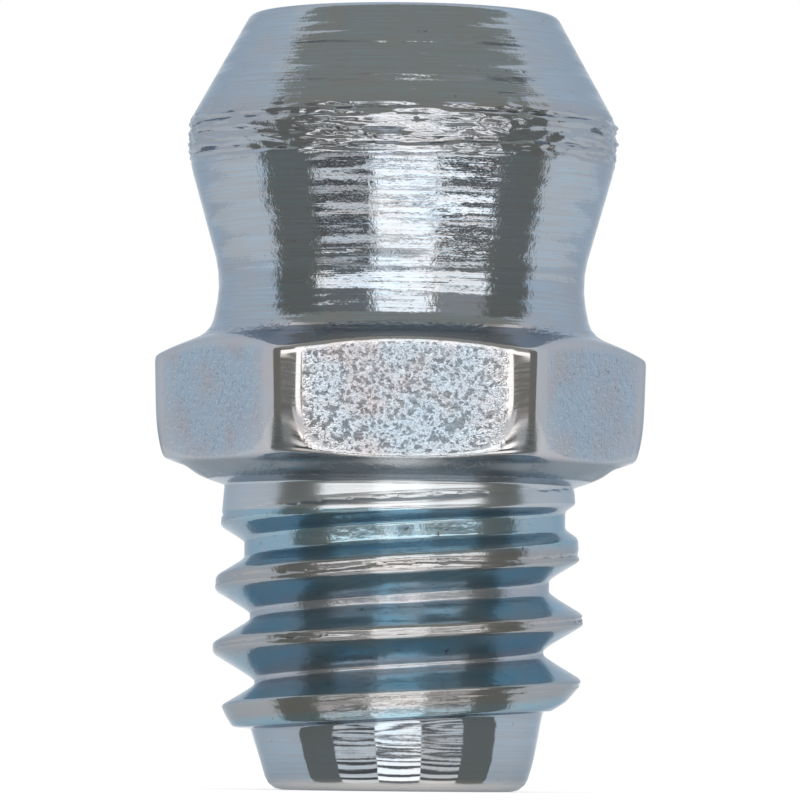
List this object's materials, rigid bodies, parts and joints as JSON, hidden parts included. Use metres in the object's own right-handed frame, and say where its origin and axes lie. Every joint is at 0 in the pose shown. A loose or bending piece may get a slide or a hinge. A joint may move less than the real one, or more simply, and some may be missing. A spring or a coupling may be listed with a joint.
{
  "type": "grease nipple",
  "caption": "Straight grease nipple with a cone head, spanner hexagon and rolled taper thread, closed by a sprung check ball.",
  "frame": {"origin": "on the axis, at the flat end of the threaded tip", "axes": "+Z along the axis towards the cone head, -Y through the middle of one hexagon flat"},
  "size_m": [0.0076, 0.0066, 0.0117],
  "materials": {
    "zinc_plated_steel": "bright zinc plating over fine turning marks, slightly blue",
    "polished_steel": "ground and polished bearing ball",
    "spring_steel": "drawn spring wire, dull grey"
  },
  "bodies": {
    "nipple": {"nipple_body": "zinc_plated_steel", "check_spring": "spring_steel"},
    "ball": {"check_ball": "polished_steel"}
  },
  "joints": [
    {"name": "ball_lift", "type": "slide", "parent": "nipple", "child": "ball", "axis": [0, 0, -1], "range_m": [0, 0.0008], "stiffness_N_per_m": 1500, "deforming": ["check_spring"]}
  ]
}
